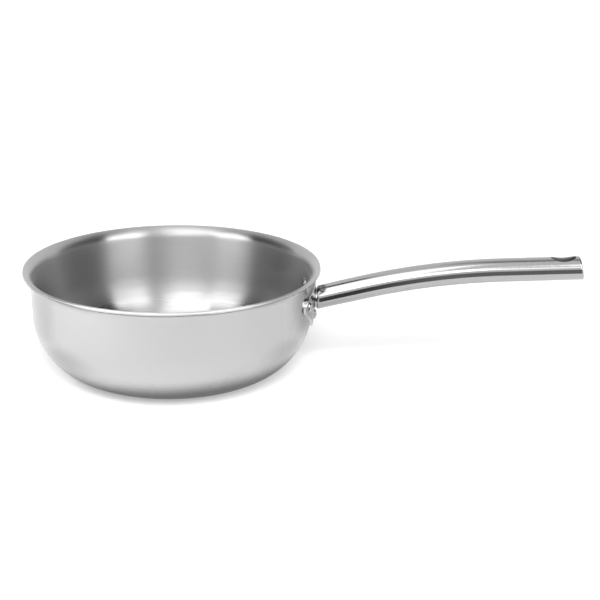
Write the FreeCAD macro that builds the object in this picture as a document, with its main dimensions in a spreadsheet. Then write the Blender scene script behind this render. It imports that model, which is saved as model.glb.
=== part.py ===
import FreeCAD, Part
import math
import os
import Sketcher
from FreeCAD import Placement, Rotation, Vector

# Clad saucier pan: origin at the middle of the base, +Z up, +X along the handle, millimetres.
doc = FreeCAD.newDocument("saucier")
sheet = doc.addObject("Spreadsheet::Sheet", "dims")

sizes = {
    "rim_diameter": "250",
    "pan_height": "92",
    "corner_radius": "55",
    "wall_taper": "2.5",
    "flare_radius": "7.5",
    "flare_angle": "76",
    "outer_ply_thickness": "0.5",
    "core_ply_thickness": "1.6",
    "inner_ply_thickness": "0.5",
    "plate_thickness": "2.3",
    "plate_gap": "0.05",
    "plate_lobe_radius": "8.5",
    "plate_foot_radius": "14",
    "plate_foot_margin": "10",
    "plate_crown_radius": "168",
    "plate_edge_round": "0.6",
    "upper_rivet_drop": "25",
    "upper_rivet_azimuth": "16",
    "lower_rivet_gap": "0.8",
    "rivet_diameter": "5",
    "rivet_clearance": "0.05",
    "rivet_head_diameter": "9",
    "rivet_head_height": "2",
    "inner_head_height": "1.6",
    "rivet_brim": "0.5",
    "rivet_seat": "0.3",
    "boss_diameter": "16.4",
    "boss_fillet": "2.5",
    "spigot_length": "9",
    "spigot_clearance": "0.05",
    "handle_drop": "1.1",
    "handle_standoff": "9",
    "handle_rise_angle": "13.6",
    "handle_end_angle": "2.1",
    "handle_bend_radius": "607",
    "handle_lower_run": "33",
    "handle_upper_run": "64.8",
    "tube_diameter": "20",
    "tube_wall": "1.5",
    "neck_diameter": "18.4",
    "neck_straight": "10",
    "neck_taper": "12",
    "end_cut_angle": "8.5",
    "hang_hole_length": "21.5",
    "hang_hole_width": "13",
    "hang_hole_margin": "3.2",
    "cap_thickness": "2",
    "cap_inset": "0.4",
    "cap_clearance": "0.05",
}
for row, (alias, value) in enumerate(sizes.items(), start=1):
    sheet.set("A%d" % row, alias.replace("_", " "))
    sheet.set("B%d" % row, value)
    sheet.setAlias("B%d" % row, alias)
doc.recompute()


def dim(alias):
    return float(getattr(sheet, alias))


def cell(alias):
    return "dims." + alias


# Outline of the outer skin, worked out from the rim, height, corner, taper and flare.
tau = math.radians(dim("wall_taper"))
turned = tau + math.radians(dim("flare_angle"))
corner = dim("corner_radius")
flare = dim("flare_radius")
outerPly = dim("outer_ply_thickness")
corePly = dim("core_ply_thickness")
innerPly = dim("inner_ply_thickness")
wallThick = outerPly + corePly + innerPly
flareX = dim("rim_diameter") / 2 + flare * math.cos(turned)
flareZ = dim("pan_height") - (flare + wallThick) * math.sin(turned)
baseRadius = flareX + ((corner - flareZ) * math.sin(tau) - corner - flare) / math.cos(tau)
pliesText = "(dims.outer_ply_thickness + dims.core_ply_thickness + dims.inner_ply_thickness)"
turnText = "(dims.wall_taper + dims.flare_angle) * 1 deg"
flareXText = "dims.rim_diameter / 2 + dims.flare_radius * cos(%s)" % turnText
flareZText = "dims.pan_height - (dims.flare_radius + %s) * sin(%s)" % (pliesText, turnText)
baseText = ("%s + ((dims.corner_radius - (%s)) * sin(dims.wall_taper * 1 deg) - dims.corner_radius"
            " - dims.flare_radius) / cos(dims.wall_taper * 1 deg)") % (flareXText, flareZText)


def wallAt(height):
    tangentZ = corner - corner * math.sin(tau)
    if height >= tangentZ:
        reach = baseRadius + corner * math.cos(tau) + (height - tangentZ) * math.tan(tau)
        return reach, tau
    lean = math.asin((corner - height) / corner)
    return baseRadius + corner * math.cos(lean), lean


def newBody(label):
    body = doc.addObject("PartDesign::Body", label)
    body.Label = label
    return body


def plane(body, role):
    for feature in body.Origin.OriginFeatures:
        if feature.Role == role:
            return feature
    raise ValueError(role)


def newSketch(body, name, role, behind=False):
    sketch = body.newObject("Sketcher::SketchObject", name)
    sketch.AttachmentSupport = [(plane(body, role), "")]
    sketch.MapMode = "FlatFace"
    if behind:
        # A full turn then has its seam opposite the handle, away from the rivets.
        sketch.AttachmentOffset = Placement(Vector(0, 0, 0), Rotation(Vector(0, 1, 0), 180))
    return sketch


def flat(x, y):
    return Vector(x, y, 0)


def line(ax, ay, bx, by):
    return Part.LineSegment(flat(ax, ay), flat(bx, by))


def arc(x, y, radius, start, end):
    return Part.ArcOfCircle(Part.Circle(flat(x, y), Vector(0, 0, 1), radius), start, end)


def hold(sketch, constraint, name, text):
    index = sketch.addConstraint(constraint)
    sketch.renameConstraint(index, name)
    sketch.setExpression("Constraints." + name, text)


def join(sketch, pairs, tangent=False):
    kind = "Tangent" if tangent else "Coincident"
    for first, firstEnd, second, secondEnd in pairs:
        sketch.addConstraint(Sketcher.Constraint(kind, first, firstEnd, second, secondEnd))


# One ply: the skin line carried inward by two depths, base to rim, turned about Z.
def plySketch(body, near, far, nearText, farText):
    sketch = newSketch(body, body.Label + "_profile", "XZ_Plane", True)
    side = (math.cos(tau), -math.sin(tau))
    rim = (-math.cos(turned), math.sin(turned))

    def chain(depth):
        low = (baseRadius + (corner - depth) * side[0], corner + (corner - depth) * side[1])
        high = (flareX - (flare + depth) * side[0], flareZ - (flare + depth) * side[1])
        return [line(0, depth, baseRadius, depth),
                arc(baseRadius, corner, corner - depth, -math.pi / 2, -tau),
                line(low[0], low[1], high[0], high[1]),
                arc(flareX, flareZ, flare + depth, math.pi - turned, math.pi - tau)]

    def rimPoint(depth):
        return flareX + (flare + depth) * rim[0], flareZ + (flare + depth) * rim[1]

    edge = rimPoint(near) + rimPoint(far)
    sketch.addGeometry(chain(near) + chain(far) + [line(*edge), line(0, near, 0, far)], False)
    join(sketch, [(0, 2, 1, 1), (1, 2, 2, 1), (2, 2, 3, 2), (4, 2, 5, 1), (5, 2, 6, 1), (6, 2, 7, 2)], True)
    join(sketch, [(3, 1, 8, 1), (7, 1, 8, 2), (0, 1, 9, 1), (4, 1, 9, 2), (1, 3, 5, 3), (3, 3, 7, 3)])
    sketch.addConstraint(Sketcher.Constraint("Horizontal", 0))
    sketch.addConstraint(Sketcher.Constraint("Horizontal", 4))
    sketch.addConstraint(Sketcher.Constraint("PointOnObject", 0, 1, -2))
    sketch.addConstraint(Sketcher.Constraint("PointOnObject", 4, 1, -2))
    sketch.addConstraint(Sketcher.Constraint("PointOnObject", 3, 3, 8))
    hold(sketch, Sketcher.Constraint("Radius", 1, corner - near), "corner_near",
         "dims.corner_radius - (%s)" % nearText)
    hold(sketch, Sketcher.Constraint("Radius", 5, corner - far), "corner_far",
         "dims.corner_radius - (%s)" % farText)
    hold(sketch, Sketcher.Constraint("Radius", 3, flare + near), "flare_near",
         "dims.flare_radius + (%s)" % nearText)
    hold(sketch, Sketcher.Constraint("Radius", 7, flare + far), "flare_far",
         "dims.flare_radius + (%s)" % farText)
    hold(sketch, Sketcher.Constraint("DistanceY", -1, 1, 1, 3, corner), "corner_rise", "dims.corner_radius")
    hold(sketch, Sketcher.Constraint("DistanceX", -1, 1, 3, 3, flareX), "flare_reach", flareXText)
    hold(sketch, Sketcher.Constraint("DistanceY", -1, 1, 3, 3, flareZ), "flare_rise", flareZText)
    hold(sketch, Sketcher.Constraint("DistanceX", -1, 1, 1, 3, baseRadius), "base_reach", baseText)
    hold(sketch, Sketcher.Constraint("DistanceX", -1, 1, 3, 1, edge[0]), "rim_reach",
         "dims.rim_diameter / 2 - (%s) * cos(%s)" % (nearText, turnText))
    return sketch


def turn(body, sketch, name, axis="V_Axis"):
    feature = body.newObject("PartDesign::Revolution", name)
    feature.Profile = sketch
    feature.ReferenceAxis = (sketch, [axis])
    feature.Angle = 360
    sketch.Visibility = False
    return feature


# Rivets stand square to the wall: two beside the tube, and one whose head just clears the boss below it.
rise = math.radians(dim("handle_rise_angle"))
head = dim("rivet_head_diameter") / 2
boss = dim("boss_diameter") / 2
upperZ = dim("pan_height") - dim("upper_rivet_drop")
axisZ = upperZ - dim("handle_drop")
bossFoot = axisZ - dim("handle_standoff") * math.tan(rise) - boss / math.cos(rise)
lowerZ = bossFoot - dim("lower_rivet_gap") - head
upperText = "(dims.pan_height - dims.upper_rivet_drop)"
bossFootText = ("(%s - dims.handle_drop - dims.handle_standoff * tan(dims.handle_rise_angle * 1 deg)"
                " - dims.boss_diameter / 2 / cos(dims.handle_rise_angle * 1 deg))") % upperText
lowerText = "(%s - dims.lower_rivet_gap - dims.rivet_head_diameter / 2)" % bossFootText
rivets = {
    "rivet_upper_left": (dim("upper_rivet_azimuth"), upperZ),
    "rivet_upper_right": (-dim("upper_rivet_azimuth"), upperZ),
    "rivet_lower": (0.0, lowerZ),
}


# Where a rivet's axis leaves the wall, moved out by shift; facing -1 looks into the pan.
def rivetFrame(name, shift=0.0, facing=1):
    azimuth, height = rivets[name]
    reach, lean = wallAt(height)
    swing = math.radians(azimuth)
    out = Vector(math.cos(lean) * math.cos(swing), math.cos(lean) * math.sin(swing), -math.sin(lean))
    spot = Vector(reach * math.cos(swing), reach * math.sin(swing), height)
    # Spun about its own axis, so that no seam lies in the plane of symmetry.
    spun = Rotation(Vector(0, 0, 1), out * facing).multiply(Rotation(Vector(0, 0, 1), 40))
    return Placement(spot + out * shift, spun)


# One set of drills for the plies and the bracket, so that every hole lines up.
drills = []
for name in rivets:
    drill = doc.addObject("Part::Cylinder", "drill_" + name)
    drill.setExpression("Radius", "dims.rivet_diameter / 2 + dims.rivet_clearance")
    drill.setExpression("Height", "4 * %s + 2 * (dims.plate_gap + dims.plate_thickness)" % pliesText)
    drill.Placement = rivetFrame(name, -2 * wallThick)
    drills.append(drill)
drillSet = doc.addObject("Part::Compound", "drill_set")
drillSet.Links = drills
doc.recompute()


def drilled(label, blank):
    node = doc.addObject("Part::Cut", label)
    node.Label = label
    node.Base = blank
    node.Tool = drillSet
    doc.recompute()
    return node


coreText = "dims.outer_ply_thickness + dims.core_ply_thickness"
plies = [
    ("outer_ply", 0.0, outerPly, "0 * dims.outer_ply_thickness", "dims.outer_ply_thickness"),
    ("core_ply", outerPly, outerPly + corePly, "dims.outer_ply_thickness", coreText),
    ("inner_ply", outerPly + corePly, wallThick, coreText, pliesText),
]
nodes = []
blanks = []
for label, near, far, nearText, farText in plies:
    body = newBody(label + "_blank")
    sketch = plySketch(body, near, far, nearText, farText)
    doc.recompute()
    turn(body, sketch, label + "_turned")
    doc.recompute()
    blanks.append(body)
    nodes.append(drilled(label, body))

# Handle axis: leaves the wall on a straight rise, bends through one arc and runs out nearly level.
bend = rise - math.radians(dim("handle_end_angle"))
axisX = wallAt(axisZ)[0] + dim("handle_standoff")
along = Vector(math.cos(rise), 0, math.sin(rise))
neckLength = dim("neck_straight") + dim("neck_taper")
handleFrame = Placement(Vector(axisX, 0, axisZ) + along * neckLength,
                        Rotation(Vector(0, 1, 0), -math.degrees(rise)))


# A strip that follows the wall between two depths, from the lower curve to just under the flare.
def wallStrip(body, name, near, far, nearText, farText, top, topText, behind=False):
    sketch = newSketch(body, name, "XZ_Plane", behind)
    low = -math.pi / 4
    shapes = []
    for depth in (near, far):
        foot = (baseRadius + (corner - depth) * math.cos(tau), corner - (corner - depth) * math.sin(tau))
        head = (foot[0] + (top - foot[1]) * math.tan(tau), top)
        shapes.append(arc(baseRadius, corner, corner - depth, low, -tau))
        shapes.append(line(foot[0], foot[1], head[0], head[1]))
    shapes.append(Part.LineSegment(shapes[0].StartPoint, shapes[2].StartPoint))
    shapes.append(Part.LineSegment(shapes[1].EndPoint, shapes[3].EndPoint))
    sketch.addGeometry(shapes, False)
    join(sketch, [(0, 2, 1, 1), (2, 2, 3, 1)], True)
    join(sketch, [(0, 1, 4, 1), (2, 1, 4, 2), (1, 2, 5, 1), (3, 2, 5, 2), (0, 3, 2, 3)])
    sketch.addConstraint(Sketcher.Constraint("PointOnObject", 0, 3, 4))
    sketch.addConstraint(Sketcher.Constraint("Horizontal", 5))
    sketch.addConstraint(Sketcher.Constraint("Parallel", 1, 3))
    sketch.addConstraint(Sketcher.Constraint("Angle", 4, math.radians(135)))
    hold(sketch, Sketcher.Constraint("Radius", 0, corner - near), "strip_near",
         "dims.corner_radius - (%s)" % nearText)
    hold(sketch, Sketcher.Constraint("Radius", 2, corner - far), "strip_far",
         "dims.corner_radius - (%s)" % farText)
    hold(sketch, Sketcher.Constraint("DistanceX", -1, 1, 0, 3, baseRadius), "strip_reach", baseText)
    hold(sketch, Sketcher.Constraint("DistanceY", -1, 1, 0, 3, corner), "strip_rise", "dims.corner_radius")
    hold(sketch, Sketcher.Constraint("DistanceY", -1, 1, 1, 2, top), "strip_top", topText)
    hold(sketch, Sketcher.Constraint("Angle", -1, 1, 1, 1, math.pi / 2 - tau), "strip_taper",
         "(90 - dims.wall_taper) * 1 deg")
    return sketch


# Bracket: wall-hugging strip, trimmed to a rounded shield, with a boss and spigot along the handle axis.
bracket = newBody("bracket_blank")
gap = dim("plate_gap")
plate = dim("plate_thickness")
strip = wallStrip(bracket, "plate_strip", -gap - plate, -gap, "-dims.plate_gap - dims.plate_thickness",
                  "-dims.plate_gap", dim("pan_height") - flare, "dims.pan_height - dims.flare_radius")
doc.recompute()
band = turn(bracket, strip, "plate_band")
band.Angle = 90
band.Midplane = True
doc.recompute()

outline = newSketch(bracket, "plate_outline", "YZ_Plane")
lobe = dim("plate_lobe_radius")
foot = dim("plate_foot_radius")
crown = dim("plate_crown_radius")
lobeY = (wallAt(upperZ)[0] + gap + plate) * math.sin(math.radians(dim("upper_rivet_azimuth")))
footZ = lowerZ - dim("plate_foot_margin") + foot
crownZ = upperZ - math.sqrt((crown - lobe) ** 2 - lobeY ** 2)
lobeTop = math.atan2(upperZ - crownZ, lobeY)
spread = math.hypot(lobeY, upperZ - footZ)
lean = math.atan2(upperZ - footZ, lobeY) - math.acos((foot - lobe) / spread)
ends = (lobeY + lobe * math.cos(lean), upperZ + lobe * math.sin(lean),
        foot * math.cos(lean), footZ + foot * math.sin(lean))
outline.addGeometry([
    arc(0, crownZ, crown, lobeTop, math.pi - lobeTop),
    arc(lobeY, upperZ, lobe, lean, lobeTop),
    line(*ends),
    arc(0, footZ, foot, math.pi - lean, 2 * math.pi + lean),
    line(-ends[2], ends[3], -ends[0], ends[1]),
    arc(-lobeY, upperZ, lobe, math.pi - lobeTop, math.pi - lean),
], False)
join(outline, [(0, 1, 1, 2), (1, 1, 2, 1), (2, 2, 3, 2), (3, 1, 4, 1), (4, 2, 5, 2), (5, 1, 0, 2)], True)
hold(outline, Sketcher.Constraint("Radius", 0, crown), "crown", cell("plate_crown_radius"))
hold(outline, Sketcher.Constraint("Radius", 1, lobe), "lobe_left", cell("plate_lobe_radius"))
hold(outline, Sketcher.Constraint("Radius", 5, lobe), "lobe_right", cell("plate_lobe_radius"))
hold(outline, Sketcher.Constraint("Radius", 3, foot), "foot", cell("plate_foot_radius"))
outline.addConstraint(Sketcher.Constraint("DistanceX", -1, 1, 1, 3, lobeY))
outline.addConstraint(Sketcher.Constraint("DistanceX", 5, 3, -1, 1, lobeY))
hold(outline, Sketcher.Constraint("DistanceY", -1, 1, 1, 3, upperZ), "lobe_rise_left", upperText)
hold(outline, Sketcher.Constraint("DistanceY", -1, 1, 5, 3, upperZ), "lobe_rise_right", upperText)
outline.addConstraint(Sketcher.Constraint("PointOnObject", 3, 3, -2))
hold(outline, Sketcher.Constraint("DistanceY", -1, 1, 3, 3, footZ), "foot_rise",
     "%s - dims.plate_foot_margin + dims.plate_foot_radius" % lowerText)
wide = dim("rim_diameter")
outline.addGeometry([line(-wide, -wide, wide, -wide), line(wide, -wide, wide, wide),
                     line(wide, wide, -wide, wide), line(-wide, wide, -wide, -wide)], False)
join(outline, [(6, 2, 7, 1), (7, 2, 8, 1), (8, 2, 9, 1), (9, 2, 6, 1)])
for side in (6, 7, 8, 9):
    outline.addConstraint(Sketcher.Constraint("Block", side))
doc.recompute()
fullBand = bracket.Shape.Volume
trim = bracket.newObject("PartDesign::Pocket", "plate_trim")
trim.Profile = outline
trim.Type = "ThroughAll"
trim.Midplane = True
outline.Visibility = False
doc.recompute()
if bracket.Shape.Volume > 0.8 * fullBand:
    raise RuntimeError("the plate outline trimmed nothing")

bossSketch = newSketch(bracket, "boss_profile", "XZ_Plane")
spigot = dim("neck_diameter") / 2 - dim("tube_wall") - dim("spigot_clearance")
up = (-math.sin(rise), math.cos(rise))
root = dim("handle_standoff") + wallThick


def onAxis(run, lift):
    return flat(axisX + run * math.cos(rise) + lift * up[0], axisZ + run * math.sin(rise) + lift * up[1])


steps = [(-root, 0), (-root, boss), (0, boss), (0, spigot), (dim("spigot_length"), spigot),
         (dim("spigot_length"), 0)]
corners = [onAxis(*step) for step in steps]
loop = [Part.LineSegment(corners[i], corners[(i + 1) % 6]) for i in range(6)]
bossSketch.addGeometry(loop, False)
bossSketch.addGeometry([Part.LineSegment(onAxis(-2 * root, 0), onAxis(-root, 0))], True)
join(bossSketch, [(i, 2, (i + 1) % 6, 1) for i in range(6)] + [(6, 2, 0, 1)])
for first in (0, 2, 4):
    bossSketch.addConstraint(Sketcher.Constraint("Perpendicular", first, 5))
for first in (1, 3, 6):
    bossSketch.addConstraint(Sketcher.Constraint("Parallel", first, 5))
hold(bossSketch, Sketcher.Constraint("Distance", 0, boss), "boss_radius",
     "dims.boss_diameter / 2")
hold(bossSketch, Sketcher.Constraint("Distance", 4, spigot), "spigot_radius",
     "dims.neck_diameter / 2 - dims.tube_wall - dims.spigot_clearance")
hold(bossSketch, Sketcher.Constraint("Distance", 3, dim("spigot_length")), "spigot_run",
     cell("spigot_length"))
rootText = "dims.handle_standoff + %s" % pliesText
hold(bossSketch, Sketcher.Constraint("Distance", 1, root), "boss_run", rootText)
hold(bossSketch, Sketcher.Constraint("Distance", 6, root), "axis_run", rootText)
hold(bossSketch, Sketcher.Constraint("Angle", 6, rise), "boss_rise", "dims.handle_rise_angle * 1 deg")
bossSketch.addConstraint(Sketcher.Constraint("DistanceX", -1, 1, 2, 1, corners[2].x))
bossSketch.addConstraint(Sketcher.Constraint("DistanceY", -1, 1, 2, 1, corners[2].y))
doc.recompute()
turn(bracket, bossSketch, "boss_turned", "Axis0")
doc.recompute()

# The back of the boss is cleared to the same gap from the wall as the plate.
clear = wallStrip(bracket, "wall_space", -gap, wallThick * 6, "-dims.plate_gap", "6 * %s" % pliesText,
                  dim("pan_height") - flare, "dims.pan_height - dims.flare_radius", True)
doc.recompute()
fullBoss = bracket.Shape.Volume
cleared = bracket.newObject("PartDesign::Groove", "wall_cleared")
cleared.Profile = clear
cleared.ReferenceAxis = (clear, ["V_Axis"])
cleared.Angle = 360
clear.Visibility = False
doc.recompute()
if bracket.Shape.Volume > fullBoss - 1:
    raise RuntimeError("the boss was not cleared from the wall")


def axisDistance(point):
    away = point - Vector(axisX, 0, axisZ)
    return (away - along * away.dot(along)).Length


def edgesWhere(shape, test):
    names = []
    for number, edge in enumerate(shape.Edges, start=1):
        spots = edge.discretize(5)
        if all(test(spot) for spot in spots):
            names.append("Edge%d" % number)
    return names


def onBossRoot(point):
    run = (point - Vector(axisX, 0, axisZ)).dot(along)
    return abs(axisDistance(point) - boss) < 0.02 and run < -1


rootFillet = bracket.newObject("PartDesign::Fillet", "boss_root")
rootFillet.Base = (cleared, edgesWhere(cleared.Shape, onBossRoot))
rootFillet.setExpression("Radius", cell("boss_fillet"))
doc.recompute()


def onPlateFace(point):
    reach, lean = wallAt(point.z)
    away = (math.hypot(point.x, point.y) - reach) * math.cos(lean)
    return abs(away - gap - plate) < 0.15 and axisDistance(point) > boss + dim("boss_fillet") + 0.3


rim = bracket.newObject("PartDesign::Fillet", "plate_edge")
rim.Base = (rootFillet, edgesWhere(rootFillet.Shape, onPlateFace))
rim.setExpression("Radius", cell("plate_edge_round"))
doc.recompute()
nodes.append(drilled("handle_bracket", bracket))


# A rivet head: a short brim under a dome, its foot sunk by the seat and then cut by what it grips.
def rivetHead(name, tallAlias, frame, gripped):
    blank = newBody(name + "_blank")
    sketch = newSketch(blank, name + "_profile", "XZ_Plane")
    seat = dim("rivet_seat")
    brim = dim("rivet_brim")
    tall = dim(tallAlias)
    radius = (head ** 2 + (tall - brim) ** 2) / (2 * (tall - brim))
    sketch.addGeometry([
        line(0, -seat, head, -seat),
        line(head, -seat, head, brim),
        arc(0, tall - radius, radius, math.pi / 2 - math.asin(head / radius), math.pi / 2),
        line(0, tall, 0, -seat),
    ], False)
    join(sketch, [(0, 2, 1, 1), (1, 2, 2, 1), (2, 2, 3, 1), (3, 2, 0, 1)])
    sketch.addConstraint(Sketcher.Constraint("Horizontal", 0))
    sketch.addConstraint(Sketcher.Constraint("Vertical", 1))
    sketch.addConstraint(Sketcher.Constraint("PointOnObject", 0, 1, -2))
    sketch.addConstraint(Sketcher.Constraint("PointOnObject", 2, 2, -2))
    sketch.addConstraint(Sketcher.Constraint("PointOnObject", 2, 3, -2))
    hold(sketch, Sketcher.Constraint("Distance", 0, head), "head", "dims.rivet_head_diameter / 2")
    hold(sketch, Sketcher.Constraint("DistanceY", 0, 1, -1, 1, seat), "seat", cell("rivet_seat"))
    hold(sketch, Sketcher.Constraint("DistanceY", -1, 1, 1, 2, brim), "brim", cell("rivet_brim"))
    hold(sketch, Sketcher.Constraint("DistanceY", -1, 1, 2, 2, tall), "tall", cell(tallAlias))
    doc.recompute()
    turn(blank, sketch, name + "_turned")
    blank.Placement = frame
    seated = blank
    for tool in gripped:
        trimmed = doc.addObject("Part::Cut", name + "_on_" + tool.Label)
        trimmed.Base = seated
        trimmed.Tool = tool
        seated = trimmed
    doc.recompute()
    return seated


# Rivets: a domed head on the bracket, a lower one on the cooking face, and the shank that joins them.
for name in rivets:
    outside = rivetHead(name + "_outside", "rivet_head_height", rivetFrame(name, gap + plate), [bracket])
    inside = rivetHead(name + "_inside", "inner_head_height", rivetFrame(name, -wallThick, -1),
                       [blanks[2], blanks[1]])
    shank = doc.addObject("Part::Cylinder", name + "_shank")
    shank.setExpression("Radius", "dims.rivet_diameter / 2")
    shank.setExpression("Height", "%s + dims.plate_gap + dims.plate_thickness + 2 * dims.rivet_brim"
                        % pliesText)
    shank.Placement = rivetFrame(name, -wallThick - dim("rivet_brim"))
    rivet = doc.addObject("Part::MultiFuse", name)
    rivet.Label = name
    rivet.Shapes = [outside, shank, inside]
    doc.recompute()
    nodes.append(rivet)

# Tube: swept ring along the handle axis, swaged neck over the spigot, oval hole in the top and a slanted end.
tube = newBody("handle_tube")
tubeRadius = dim("tube_diameter") / 2
tubeWall = dim("tube_wall")
lowerRun = dim("handle_lower_run") - neckLength
upperRun = dim("handle_upper_run")
bendRadius = dim("handle_bend_radius")
bendX = lowerRun + bendRadius * math.sin(bend)
bendZ = -bendRadius * (1 - math.cos(bend))
endX = bendX + upperRun * math.cos(bend)
endZ = bendZ - upperRun * math.sin(bend)
overrun = dim("tube_diameter")
bendText = "(dims.handle_rise_angle - dims.handle_end_angle) * 1 deg"
ring = newSketch(tube, "tube_ring", "YZ_Plane")
ring.addGeometry([Part.Circle(flat(0, 0), Vector(0, 0, 1), tubeRadius),
                  Part.Circle(flat(0, 0), Vector(0, 0, 1), tubeRadius - tubeWall)], False)
join(ring, [(0, 3, -1, 1), (1, 3, -1, 1)])
hold(ring, Sketcher.Constraint("Radius", 0, tubeRadius), "outside", "dims.tube_diameter / 2")
hold(ring, Sketcher.Constraint("Radius", 1, tubeRadius - tubeWall), "bore",
     "dims.tube_diameter / 2 - dims.tube_wall")
path = newSketch(tube, "tube_path", "XZ_Plane")
path.addGeometry([
    line(0, 0, lowerRun, 0),
    arc(lowerRun, -bendRadius, bendRadius, math.pi / 2 - bend, math.pi / 2),
    line(bendX, bendZ, endX + overrun * math.cos(bend), endZ - overrun * math.sin(bend)),
], False)
join(path, [(0, 2, 1, 2), (1, 1, 2, 1)], True)
join(path, [(0, 1, -1, 1)])
path.addConstraint(Sketcher.Constraint("Horizontal", 0))
hold(path, Sketcher.Constraint("Distance", 0, lowerRun), "lower_run",
     "dims.handle_lower_run - dims.neck_straight - dims.neck_taper")
hold(path, Sketcher.Constraint("Radius", 1, bendRadius), "bend_radius", cell("handle_bend_radius"))
hold(path, Sketcher.Constraint("Distance", 2, upperRun + overrun), "upper_run",
     "dims.handle_upper_run + dims.tube_diameter")
hold(path, Sketcher.Constraint("Angle", 2, -bend), "bend_angle", "-" + bendText)
doc.recompute()
swept = tube.newObject("PartDesign::AdditivePipe", "tube_swept")
swept.Profile = ring
swept.Spine = path
doc.recompute()

neckSketch = newSketch(tube, "neck_profile", "XZ_Plane")
neckRadius = dim("neck_diameter") / 2
taper = dim("neck_taper")
neckLoop = [(0, tubeRadius), (-taper, neckRadius), (-neckLength, neckRadius),
            (-neckLength, neckRadius - tubeWall), (-taper, neckRadius - tubeWall), (0, tubeRadius - tubeWall)]
neckSketch.addGeometry([line(*(neckLoop[i] + neckLoop[(i + 1) % 6])) for i in range(6)], False)
join(neckSketch, [(i, 2, (i + 1) % 6, 1) for i in range(6)])
for level in (1, 3):
    neckSketch.addConstraint(Sketcher.Constraint("Horizontal", level))
neckSketch.addConstraint(Sketcher.Constraint("Vertical", 2))
neckSketch.addConstraint(Sketcher.Constraint("PointOnObject", 5, 1, -2))
neckSketch.addConstraint(Sketcher.Constraint("PointOnObject", 0, 1, -2))
hold(neckSketch, Sketcher.Constraint("DistanceY", -1, 1, 0, 1, tubeRadius), "tube_out",
     "dims.tube_diameter / 2")
hold(neckSketch, Sketcher.Constraint("DistanceY", -1, 1, 5, 1, tubeRadius - tubeWall), "tube_in",
     "dims.tube_diameter / 2 - dims.tube_wall")
hold(neckSketch, Sketcher.Constraint("DistanceY", -1, 1, 1, 1, neckRadius), "neck_out",
     "dims.neck_diameter / 2")
hold(neckSketch, Sketcher.Constraint("DistanceY", -1, 1, 4, 1, neckRadius - tubeWall), "neck_in",
     "dims.neck_diameter / 2 - dims.tube_wall")
hold(neckSketch, Sketcher.Constraint("DistanceX", 1, 1, -1, 1, taper), "taper_out", cell("neck_taper"))
hold(neckSketch, Sketcher.Constraint("DistanceX", 4, 1, -1, 1, taper), "taper_in", cell("neck_taper"))
hold(neckSketch, Sketcher.Constraint("DistanceX", 2, 1, -1, 1, neckLength), "neck_run",
     "dims.neck_straight + dims.neck_taper")
doc.recompute()
turn(tube, neckSketch, "neck_turned", "H_Axis")
doc.recompute()

# The end is cut so that the top is shorter than the underside.
cut = math.radians(dim("end_cut_angle"))
heading = bend + cut
endSketch = newSketch(tube, "end_cut", "XZ_Plane")
far = 3 * overrun
spots = [(endX + far * math.sin(heading - 2 * cut), endZ + far * math.cos(heading - 2 * cut)),
         (endX - far * math.sin(heading - 2 * cut), endZ - far * math.cos(heading - 2 * cut))]
push = (far * math.cos(bend), -far * math.sin(bend))
spots += [(spots[1][0] + push[0], spots[1][1] + push[1]), (spots[0][0] + push[0], spots[0][1] + push[1])]
endSketch.addGeometry([line(*(spots[i] + spots[(i + 1) % 4])) for i in range(4)], False)
join(endSketch, [(i, 2, (i + 1) % 4, 1) for i in range(4)])
for side in range(4):
    endSketch.addConstraint(Sketcher.Constraint("Block", side))
doc.recompute()
fullTube = tube.Shape.Volume
endCut = tube.newObject("PartDesign::Pocket", "tube_end")
endCut.Profile = endSketch
endCut.Type = "ThroughAll"
endCut.Midplane = True
endSketch.Visibility = False
doc.recompute()
if tube.Shape.Volume > fullTube - 1:
    raise RuntimeError("the tube end was not cut")

holeRun = (upperRun - tubeRadius * math.tan(cut) - dim("hang_hole_margin") - dim("hang_hole_length") / 2)
holeSketch = newSketch(tube, "hang_hole", "XY_Plane")
holeSketch.AttachmentOffset = Placement(
    Vector(bendX + holeRun * math.cos(bend), 0, bendZ - holeRun * math.sin(bend)),
    Rotation(Vector(0, 1, 0), math.degrees(bend)))
long = dim("hang_hole_length") / 2
short = dim("hang_hole_width") / 2
holeSketch.addGeometry([Part.Ellipse(flat(long, 0), flat(0, short), flat(0, 0))], False)
holeSketch.exposeInternalGeometry(0)
holeSketch.addConstraint(Sketcher.Constraint("Coincident", 0, 3, -1, 1))
holeSketch.addConstraint(Sketcher.Constraint("Horizontal", 1))
hold(holeSketch, Sketcher.Constraint("Distance", 1, 2 * long), "hole_long", cell("hang_hole_length"))
hold(holeSketch, Sketcher.Constraint("Distance", 2, 2 * short), "hole_short", cell("hang_hole_width"))
doc.recompute()
whole = tube.Shape.Volume
hang = tube.newObject("PartDesign::Pocket", "hang_cut")
hang.Profile = holeSketch
hang.Type = "ThroughAll"
hang.Reversed = True
holeSketch.Visibility = False
doc.recompute()
if tube.Shape.Volume > whole - 1:
    raise RuntimeError("the hanging hole was not cut")
tube.Placement = handleFrame
nodes.append(tube)

# Closing disc, parallel to the slanted end and set in by a little.
cap = newBody("end_cap")
capSketch = newSketch(cap, "cap_ring", "YZ_Plane")
capRadius = tubeRadius - tubeWall - dim("cap_clearance")
capSketch.addGeometry([Part.Circle(flat(0, 0), Vector(0, 0, 1), capRadius)], False)
join(capSketch, [(0, 3, -1, 1)])
hold(capSketch, Sketcher.Constraint("Radius", 0, capRadius), "cap_radius",
     "dims.tube_diameter / 2 - dims.tube_wall - dims.cap_clearance")
doc.recompute()
slug = cap.newObject("PartDesign::Pad", "cap_slug")
slug.Profile = capSketch
slug.Midplane = True
slug.setExpression("Length", "2 * dims.tube_diameter")
doc.recompute()
inset = dim("cap_inset") / math.cos(cut)
thick = dim("cap_thickness") / math.cos(cut)
faces = newSketch(cap, "cap_faces", "XZ_Plane")


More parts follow.
